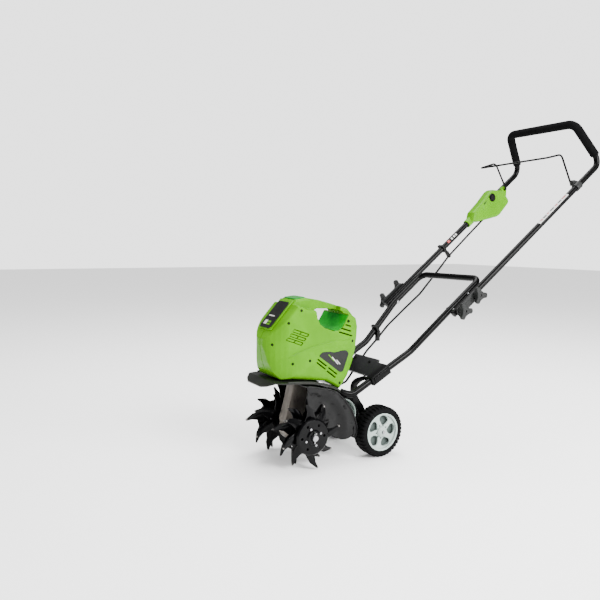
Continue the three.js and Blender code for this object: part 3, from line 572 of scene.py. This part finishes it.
def tube_label(name, ys, sign, turns, look, radius=LABEL_RADIUS):
    """A sticker wrapped round part of an upper tube.

    The turns are angles from straight up towards the outside."""
    low, high = (on_upper_tube(y, sign) for y in ys)
    along = (high - low).normalized()
    outside = Vector((sign, 0, 0))
    outside = (outside - along * outside.dot(along)).normalized()
    above = outside.cross(along) if sign > 0 else along.cross(outside)
    shape = bmesh.new()
    rings = []
    inner = radius - LABEL_THICKNESS
    for k in range(LABEL_STEPS + 1):
        angle = math.radians(turns[0] + (turns[1] - turns[0]) * k / LABEL_STEPS)
        out = above * math.cos(angle) + outside * math.sin(angle)
        rings.append([shape.verts.new(end + out * r * MM) for end, r in
                      ((low, inner), (low, radius), (high, radius), (high, inner))])
    for here, following in zip(rings, rings[1:]):
        for i in range(4):
            shape.faces.new((here[i], here[(i + 1) % 4], following[(i + 1) % 4], following[i]))
    shape.faces.new(rings[0])
    shape.faces.new(rings[-1][::-1])
    bmesh.ops.recalc_face_normals(shape, faces=shape.faces)
    return dress(built(shape, name), look, "upper_handle")


# marks on the near label: start along the tube, length
NEAR_MARKS = [(912, 10), (926, 16), (946, 8), (960, 20), (986, 12), (1002, 16), (1022, 20)]


def make_labels():
    """Stickers with plain marks on the upper tubes."""
    tube_label("tube_label_near", (902, 1048), 1, (-25, 50), "label_pale")
    for i, (y, length) in enumerate(NEAR_MARKS):
        look = "label_dark" if i % 2 else "label_red"
        tube_label(f"tube_label_near_mark_{i + 1}", (y, y + length), 1, (0, 26), look, MARK_RADIUS)
    tube_label("tube_label_far_dot", (812, 822), -1, (-75, -20), "label_red")
    for i, y in enumerate((830, 842, 852)):
        tube_label(f"tube_label_far_mark_{i + 1}", (y, y + 6), -1, (-70, -30), "label_pale")


def make_tubes():
    """Both handle tubes, the foam sleeve, the bail and the cable."""
    lower = pipe("lower_handle_tube", bent(mirrored(LOWER)), TUBE, 32, 1.2 * MM)
    dress(lower, "black_tube", "chassis", ["lower_handle"])
    upper_points = bent(mirrored(UPPER))
    upper = pipe("upper_handle_tube", upper_points, TUBE, 32, 1.2 * MM)
    dress(upper, "black_tube", "upper_handle", ["upper_handle"])
    first = at(*GRIP_START)
    start = min(range(len(upper_points)), key=lambda i: (upper_points[i] - first).length) + 1
    grip_points = upper_points[start:len(upper_points) - start]
    sampled = []
    for here, following in zip(grip_points, grip_points[1:]):
        count = max(1, round((following - here).length / GRIP_STEP))
        sampled += [here.lerp(following, k / count) for k in range(count)]
    sampled.append(grip_points[-1])
    radii = [FOAM + GRIP_UNEVEN * noise.noise(p * GRIP_GRAIN) for p in sampled]
    foam = pipe("foam_grip_sleeve", sampled, radii, 40, 4 * MM)
    dress(foam, "foam", "upper_handle", ["foam_grip"])
    bail = pipe("bail_wire", bent(BAIL), BAIL_WIRE, 16, 0.8 * MM)
    dress(bail, "black_tube", "bail", ["bail"])
    cable = pipe("control_cable", bent(CABLE), CABLE_SHEATH, 14, 0.5 * MM)
    dress(cable, "dark_plastic", None, ["cable_upper", "cable_lower"])
    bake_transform(cable)


# ---------------------------------------------------------------- housing
def facing(direction):
    """A turn that takes +Z to the direction."""
    return direction.to_track_quat("Z", "Y").to_matrix().to_4x4()


BESIDE = 250


def on_skin(skin, sign, y, z):
    """Where a ray from beside the machine meets a finished piece, and the normal there."""
    start = skin.matrix_world.inverted() @ at(BESIDE * sign, y, z)
    _, spot, normal, _ = skin.ray_cast(start, Vector((-sign, 0, 0)))
    return spot, normal


def disc(name, spot, normal, radius, height, look, body, lift, segments=20):
    """A low round or six-sided plate that stands on a spot, raised or sunk by the lift."""
    outline = [(radius * math.cos(2 * math.pi * k / segments), radius * math.sin(2 * math.pi * k / segments))
               for k in range(segments)]
    place = Matrix.Translation(spot + normal * lift) @ facing(normal)
    return dress(slab(name, outline, height, place, min(0.0004, height / 3)), look, body)


DOOR_FOOT = (-97, 409)
DOOR_HEAD = (-13, 501)
DOOR_TURN = math.atan2(DOOR_HEAD[1] - DOOR_FOOT[1], DOOR_HEAD[0] - DOOR_FOOT[0])


def door_place(u, height):
    """The frame of the battery door: x across, y up the slope, z out of it."""
    foot = at(0, *DOOR_FOOT)
    turn = Matrix.Rotation(DOOR_TURN, 4, "X")
    return Matrix.Translation(foot) @ turn @ Matrix.Translation(Vector((0, u * MM, height * MM)))


HOUSING_VOXEL = 1.4 * MM
# the screws of each side by number: (y, z)
SCREW_SPOTS = {1: (-13, 471), 2: (-56, 436), 3: (-96, 372), 4: (-43, 315), 5: (16, 319), 6: (158, 430),
               8: (178, 366), 9: (126, 240)}
# radius, height, lift
# the screw hole is a near-black disc of painted shade, not a real hole
SCREW_HOLE_SHADE = (4.3 * MM, 0.5 * MM, -0.3 * MM)
SCREW_HEAD = (2.2 * MM, 0.4 * MM, 0.15 * MM)


def make_housing():
    """The two shells, their screws, discs of painted shade for their screw holes, and what lies on or behind
    their sides.
    """
    shells = {side: moulded(f"housing_{side}", HOUSING_VOXEL, 5) for side, _ in SIDES}
    bpy.context.view_layer.update()
    for side, sign in SIDES:
        skin = shells[side]
        for number, (y, z) in SCREW_SPOTS.items():
            spot, normal = on_skin(skin, sign, y, z)
            # a near-black disc paints the shade inside each screw hole
            radius, height, lift = SCREW_HOLE_SHADE
            disc(f"screw_hole_shade_{side}_{number}", spot, normal, radius, height, "recess_shade", "chassis",
                 lift)
            radius, height, lift = SCREW_HEAD
            disc(f"screw_head_{side}_{number}", spot, normal, radius, height, "dark_plastic", "chassis",
                 lift, 6)
        make_badge(skin, side, sign)
        make_crease(skin, side, sign)
        make_vents(side, sign)
    # the shell screws wear the near-black painted shade of a recess
    for i in (1, 2, 3):
        softened(f"shell_screw_{i}", "recess_shade", bevel=0.0003)


HOUSING_CREASE = [(-56, 332), (-15, 348), (36, 362), (97, 371), (186, 372)]
CREASE_STEPS = 5
CREASE_SINK = 0.6
CREASE_RADIUS = 1.7 * MM


def make_crease(skin, side, sign):
    """A low rounded ridge where the side wall steps in."""
    sink = Vector((CREASE_SINK * MM * sign, 0, 0))
    spots = []
    for (y0, z0), (y1, z1) in zip(HOUSING_CREASE, HOUSING_CREASE[1:]):
        for k in range(CREASE_STEPS):
            share = k / CREASE_STEPS
            spot, _ = on_skin(skin, sign, y0 + (y1 - y0) * share, z0 + (z1 - z0) * share + CREASE_SINK)
            spots.append(spot - sink)
    ridge = pipe(f"crease_ridge_{side}", spots, CREASE_RADIUS, 12, 1.2 * MM)
    dress(ridge, "green_shell", "chassis")


DRAPE_RINGS = 7


def draped(name, outline, skin, sign, lift, thickness):
    """A thin plate that follows the side of a skin; its outline is (y, z) in millimetres."""
    middle = Vector((sum(p[0] for p in outline) / len(outline), sum(p[1] for p in outline) / len(outline)))
    shape = bmesh.new()

    def pair(y, z):
        spot, _ = on_skin(skin, sign, y, z)
        low = shape.verts.new(spot + Vector(((lift - thickness) * MM * sign, 0, 0)))
        return low, shape.verts.new(spot + Vector((lift * MM * sign, 0, 0)))

    centre = pair(*middle)
    loops = [[pair(*(middle + (Vector(p) - middle) * (r / DRAPE_RINGS))) for p in outline]
             for r in range(1, DRAPE_RINGS + 1)]
    for layer in (0, 1):
        for k in range(len(outline)):
            j = (k + 1) % len(outline)
            shape.faces.new((centre[layer], loops[0][k][layer], loops[0][j][layer]))
            for inner, outer in zip(loops, loops[1:]):
                shape.faces.new((inner[k][layer], outer[k][layer], outer[j][layer], inner[j][layer]))
    rim = loops[-1]
    for k in range(len(outline)):
        j = (k + 1) % len(outline)
        shape.faces.new((rim[k][0], rim[k][1], rim[j][1], rim[j][0]))
    bmesh.ops.recalc_face_normals(shape, faces=shape.faces)
    return built(shape, name)


BADGE = [(47, 331), (59, 342), (151, 340), (162, 329), (138, 274), (125, 274)]
# strokes on the badge: middle and length; all stand at one slope
STROKES = [(92, 322, 30), (106, 312, 34), (119, 306, 20)]
STROKE_SLOPE = math.radians(-46)
STROKE_HALF = 1.5


def make_badge(skin, side, sign):
    """A rounded dark triangle on the side panel with generic strokes on it."""
    badge = draped(f"side_badge_{side}", rounded(BADGE, 5.5, 4), skin, sign, 1.0, 1.6)
    dress(badge, "label_dark", "chassis")
    for i, (y, z, length) in enumerate(STROKES):
        bar = rounded_box((-length / 2, -STROKE_HALF), (length / 2, STROKE_HALF), 1.0, 3)
        placed = slanted(bar, (y, z), STROKE_SLOPE)
        stroke = draped(f"badge_stroke_{side}_{i + 1}", placed, skin, sign, 1.3, 0.6)
        dress(stroke, "label_pale" if i else "green_shell", "chassis")


VENT = {"y": -24, "z": 392, "half": (26, -9.6), "step": (-10, -12)}
VENT_FACE = 73.5
# two blades in each slot: from and to along the slot, as shares of its half length
BLADES = ((-0.93, -0.06), (0.06, 0.93))
BLADE_HALF = 0.22
# dark plates of painted shade behind the slits: outer face, outline
SHADE_SCREENS = {"front": (70.5, [(-62, 396), (-34, 424), (24, 404), (-8, 366), (-60, 372)]),
           "low": (70.5, [(34, 326), (70, 306), (128, 262), (110, 250), (34, 298)]),
           "rear": (66.5, [(132, 398), (148, 411), (158, 424), (176, 414), (182, 378), (120, 386)])}


def side_plate(name, outline, x, thickness, sign, look):
    """A flat plate on a side wall; its outline is (y, z) in millimetres and its outer face is at x."""
    flat = [at(0, y, z).yz for y, z in outline]
    place = upright(min(x * sign, (x - thickness) * sign))
    return dress(slab(name, flat, thickness * MM, place, 0.0002), look, "chassis")


def in_vent(along, slot):
    """A point of the front vent: along its slots, in half lengths, and across them, counted in slots."""
    return (VENT["y"] + VENT["step"][0] * slot + VENT["half"][0] * along,
            VENT["z"] + VENT["step"][1] * slot + VENT["half"][1] * along)


def make_vents(side, sign):
    """Green louvre blades inside the front vent, and dark plates of painted shade behind the slits."""
    for slot in (-1, 0, 1):
        upper, lower = slot + BLADE_HALF, slot - BLADE_HALF
        for k, (low, high) in enumerate(BLADES):
            outline = [in_vent(low, upper), in_vent(high, upper), in_vent(high, lower), in_vent(low, lower)]
            side_plate(f"louvre_{side}_{slot + 2}_{k + 1}", outline, VENT_FACE, 2.0, sign, "green_shell")
    # near-black plates paint the shade behind the slits
    for name, (face, outline) in SHADE_SCREENS.items():
        side_plate(f"shade_screen_{name}_{side}", outline, face, 1.0, sign, "recess_shade")


OPENING_REAR = [(108, 403.6), (121, 403.6), (136.4, 413.4), (149.6, 432.8), (158.5, 448)]
LINER_BACK = (2.2, -1.8)
LINER_HALF = 70


def make_opening_liner():
    """The clear green wall behind the carry opening."""
    outer = [(y + LINER_BACK[0], z + LINER_BACK[1]) for y, z in OPENING_REAR]
    outline = [at(0, y, z).yz for y, z in OPENING_REAR + outer[::-1]]
    liner = slab("opening_liner", outline, 2 * LINER_HALF * MM, upright(-LINER_HALF), 0.0003)
    dress(liner, "clear_green", "chassis")


# marks on the door plate: middle across, foot up the slope, width, height, look
DOOR_MARKS = [(-14, 10, 16, 15, "label_pale"), (6, 9, 22, 5, "green_shell"), (6, 17, 18, 7, "green_shell"),
              (-6, 40, 34, 4, "label_pale"), (0, 62, 38, 10, "label_dark")]
PLATE_HALF, PLATE_LENGTH = 34 * MM, 101 * MM
PLATE_FOOT, PLATE_LIFT = 7, 5.6
MARK_FOOT, MARK_LIFT = 9, 6.9
CAP_HALF, CAP_LENGTH = 37 * MM, 40 * MM
CAP_EDGE = (0, -13, 497.6)
CAP_SLOPE = math.radians(5.5)


def make_door():
    """The battery door with its plate, marks and latch cap, and the battery behind it."""
    softened("battery_door", bevel=0.0022, segments=3)
    softened("battery_pack", bevel=0.0015)
    outline = rounded_box((-PLATE_HALF, 0), (PLATE_HALF, PLATE_LENGTH), 11 * MM)
    plate = slab("door_plate", outline, 1.4 * MM, door_place(PLATE_FOOT, PLATE_LIFT), 0.0005)
    dress(plate, "label_dark", "battery_door")
    for i, (x, u, wide, tall, look) in enumerate(DOOR_MARKS):
        outline = rounded_box(((x - wide / 2) * MM, 0), ((x + wide / 2) * MM, tall * MM), 1.2 * MM, 3)
        mark = slab(f"door_mark_{i + 1}", outline, 0.3 * MM, door_place(MARK_FOOT + u, MARK_LIFT), 0.0001)
        dress(mark, look, "battery_door")
    outline = rounded_box((-CAP_HALF, 0), (CAP_HALF, CAP_LENGTH), 9 * MM)
    place = Matrix.Translation(at(*CAP_EDGE)) @ Matrix.Rotation(CAP_SLOPE, 4, "X")
    cap = slab("door_latch_cap", outline, 6 * MM, place, 0.0022)
    dress(cap, "clear_green", "chassis")


# ---------------------------------------------------------------- guards, gearcase and frame plates
FENDER_RIM = [(-70, 265.4), (-39, 263.4, 60), (10, 258.4, 60), (58, 248.4, 60), (104, 229, 30), (118, 217)]
RIM_X = 97.5
RIM_RADIUS = 2.4 * MM
# height of the guard's waves and creases, and how close they stand
GUARD_RIPPLE, RIPPLE_SCALE = 3.2 * MM, 24
GUARD_CREASE, CREASE_SCALE = 1.2 * MM, 62
# the guard's sides bulge by SWELL: from REACH_FROM outside the tine axis, full after REACH_OVER more,
# growing across from WIDTH_FROM, full before WIDTH_PANEL, gone again at WIDTH_RIM; in millimetres
SWELL = 15 * MM
REACH_FROM, REACH_OVER = 108, 32
WIDTH_FROM, WIDTH_OVER = 50, 34
WIDTH_PANEL, WIDTH_RIM = 92, 112


def clamped(value):
    return min(max(value, 0.0), 1.0)


def swollen(spot):
    """Where a point of the guard goes when its sides bulge out beyond the circle of the tines."""
    reach = math.hypot(spot.y - SHIFT, spot.z - TINE_Z) / MM
    swell = clamped((reach - REACH_FROM) / REACH_OVER)
    width = abs(spot.x) / MM
    if width < WIDTH_PANEL:
        across = clamped((width - WIDTH_FROM) / WIDTH_OVER)
    else:
        across = clamped((WIDTH_RIM - width) / (WIDTH_RIM - WIDTH_PANEL))
    push = SWELL * swell * swell * (3 - 2 * swell) * across
    return spot + Vector((math.copysign(push, spot.x), 0, 0))


def rippled(spot):
    """How far the crinkles of the guard move a point."""
    waves = noise.noise_vector(spot * RIPPLE_SCALE) * GUARD_RIPPLE
    return waves + noise.noise_vector(spot * CREASE_SCALE) * GUARD_CREASE


def make_lower_works():
    """Everything below the housing but the tines and wheels, and the small fixings of the handle."""
    for side, _ in SIDES:
        softened(f"gearcase_{side}", "cast_alloy", bevel=0.0022, segments=3)
        softened(f"leg_sleeve_{side}", bevel=0.0016, segments=3)
        softened(f"wheel_arm_{side}", bevel=0.0012, segments=2)
        softened(f"fold_bracket_{side}", bevel=0.0012, segments=3, look="grey_plastic")
        for place in ("lower", "upper"):
            softened(f"knob_{place}_{side}", bevel=0.0011, segments=3)
            softened(f"bolt_{place}_{side}", bevel=0.0006)
        softened(f"hitch_pin_{side}", bevel=0.0004)
    softened("leg_plate", bevel=0.0014, segments=3)
    # the plate screws wear the near-black painted shade of a recess
    for i in range(1, 6):
        softened(f"plate_screw_{i}", "recess_shade", bevel=0.0012, segments=3)
    softened("front_fender", "fender", bevel=0.0014, segments=3)
    for side, sign in SIDES:
        corners = [(RIM_X * sign, *p) for p in FENDER_RIM]
        rim = pipe(f"fender_rim_{side}", bent(corners), RIM_RADIUS, 12, 0.8 * MM)
        dress(rim, "fender", "chassis")
    guard = moulded("rear_guard", 2.2 * MM, 6, "guard")
    for vertex in guard.data.vertices:
        vertex.co = swollen(vertex.co) + rippled(vertex.co)
    softened("motor_can", bevel=0.0008)
    softened("motor_rotor", bevel=0.0004)
    softened("worm_wheel", bevel=0.0003)
    softened("tine_shaft", bevel=0.0006)
    softened("wheel_axle", bevel=0.0006)
    softened("cable_gland", bevel=0.001)
    softened("cable_clip_upper", bevel=0.001)
    softened("cable_clip_lower", bevel=0.001)
    softened("bail_pivot", bevel=0.0025, segments=3)


# ---------------------------------------------------------------- tines and wheels
TINE_AXIS = 101.5
# bolts on the hub plates: face, distance from the axis, first angle, radius, height
HUB_BOLTS = {"x": 128.4, "circle": 26.5, "first": 20, "radius": 3.6 * MM, "height": 3.2 * MM}


def make_tines():
    """The four stars, the hub plates and their bolts."""
    for node in ("tine_outer_left", "tine_inner_left", "tine_inner_right", "tine_outer_right"):
        softened(node, bevel=0.0007, segments=2, angle=25)
    for side, _ in SIDES:
        softened(f"tine_hub_{side}", bevel=0.0008, segments=3)
    for side, sign in SIDES:
        outward = Vector((sign, 0, 0))
        for i in range(4):
            turn = math.radians(HUB_BOLTS["first"] + 90 * i)
            spot = at(HUB_BOLTS["x"] * sign, HUB_BOLTS["circle"] * math.cos(turn),
                      TINE_AXIS + HUB_BOLTS["circle"] * math.sin(turn))
            disc(f"hub_bolt_{side}_{i + 1}", spot, outward, HUB_BOLTS["radius"], HUB_BOLTS["height"],
                 "steel", "tines", 0.0, 6)


TREAD_LUGS = 40
PER_LUG = 6
# the tyre's section, as (radius, x), and how deep the grooves cut each of its points
TYRE = [(61, 81), (66, 80.2), (71, 80), (74.5, 81.8), (77.5, 85), (79.4, 89), (80, 93), (80, 101),
        (80, 107), (80, 109.6), (80, 118), (80, 127), (79.4, 130), (77.5, 132.6), (74.5, 134.8),
        (71, 136), (66, 136), (61, 135), (59.2, 133.4), (58.3, 130), (58.3, 88), (59.2, 83)]
GROOVES = {3: 1.6, 4: 3.2, 5: 3.8, 6: 3.8, 7: 3.6, 8: 0.4, 9: 0.4,
           10: 3.6, 11: 3.8, 12: 3.8, 13: 3.4, 14: 2.4, 15: 1.2}
# where the lugs of the outer half begin, half a lug further round
TREAD_MIDDLE = 9
# a disc of painted shade behind the hub windows: (radius, x)
HUB_PAINTED_SHADE = [(13.6, 114), (53.8, 112), (53.8, 114), (13.6, 116)]
# dark dots of painted shade for small holes in the hub: face, distance from the axis, first angle, step,
# radius, height, lift
DIMPLE_SHADES = {"x": 127, "circle": 20.5, "first": 35, "step": 38, "radius": 2.3 * MM, "height": 0.5 * MM,
           "lift": -0.2 * MM}


def tread(i, k, radius):
    """The radius of point i of the tyre's section at step k of the turn."""
    shifted = k + (PER_LUG // 2 if i >= TREAD_MIDDLE else 0)
    grooved = i in GROOVES and shifted % PER_LUG in (0, 1)
    return radius - GROOVES[i] * MM if grooved else radius


def make_wheels():
    """Tyres with their tread, hubs with a disc of painted shade behind their windows and dark dots of painted
    shade for their holes.
    """
    for side, sign in SIDES:
        centre = Vector((0, AXLE.y, AXLE.z))
        body = f"wheel_{side}"
        points = [(r * MM, x * MM * sign) for r, x in TYRE]
        tyre = turned(f"tyre_{side}_tread", points, centre, TREAD_LUGS * PER_LUG, tread)
        dress(tyre, "tyre", body, [f"tyre_{side}"])
        softened(f"wheel_hub_{side}", bevel=0.0012, segments=3)
        # a darker disc paints the shade inside the hub behind its windows
        back = turned(f"hub_painted_shade_{side}", [(r * MM, x * MM * sign) for r, x in HUB_PAINTED_SHADE], centre)
        dress(back, "hub_painted_shade", body)
        outward = Vector((sign, 0, 0))
        circle = DIMPLE_SHADES["circle"] * MM
        # near-black dots paint the shade of small holes in the hub
        for i in range(7):
            turn = math.radians(DIMPLE_SHADES["first"] + DIMPLE_SHADES["step"] * i)
            face = DIMPLE_SHADES["x"] * MM * sign
            spot = centre + Vector((face, circle * math.cos(turn), circle * math.sin(turn)))
            disc(f"hub_dimple_shade_{side}_{i + 1}", spot, outward, DIMPLE_SHADES["radius"], DIMPLE_SHADES["height"],
                 "recess_shade", body, DIMPLE_SHADES["lift"], 12)


# ---------------------------------------------------------------- controls
BUTTON = (1030, 864)
# the hole the button moves in: radius, the ring of points moved out to it, its floor and what lies above that
ROOM_RADIUS, ROOM_RING = 13, 10.5
ROOM_FLOOR, ROOM_FROM = -162, -163
BEZEL = [(12.8, -153.6), (17.4, -153.6), (16.6, -151.2), (13.4, -151.2)]
# a small plate beside the button: middle, half size, slope, near face
CONTROL_LABEL = {"middle": (1001, 840), "half": (13, 7), "slope": math.radians(36.8), "x": -155.9}


def make_controls():
    """The control box with room for its button, the button, its dark ring and a plate."""
    box = moulded("control_box", 1.4 * MM, 4)
    axis = at(0, *BUTTON).yz
    for vertex in box.data.vertices:
        across = vertex.co.yz - axis
        reach = across.length / MM
        if vertex.co.x / MM > ROOM_FROM and reach < ROOM_RADIUS:
            if reach > ROOM_RING:
                across *= ROOM_RADIUS / reach
                vertex.co.yz = axis + across
            else:
                vertex.co.x = min(vertex.co.x, ROOM_FLOOR * MM)
    softened("lock_button", bevel=0.0012, segments=3)
    bezel = turned("button_bezel", [(r * MM, x * MM) for r, x in BEZEL], at(0, *BUTTON))
    dress(bezel, "dark_plastic", "upper_handle")
    across, along = CONTROL_LABEL["half"]
    corners = rounded_box((-across, -along), (across, along), 3, 3)
    outline = [at(0, y, z).yz for y, z in slanted(corners, CONTROL_LABEL["middle"], CONTROL_LABEL["slope"])]
    label = slab("control_label", outline, 1.7 * MM, upright(CONTROL_LABEL["x"]), 0.0002)
    dress(label, "grey_plastic", "upper_handle")


make_camera()
make_studio()
make_tubes()
make_labels()
make_housing()
make_opening_liner()
make_door()
make_lower_works()
make_tines()
make_wheels()
make_controls()
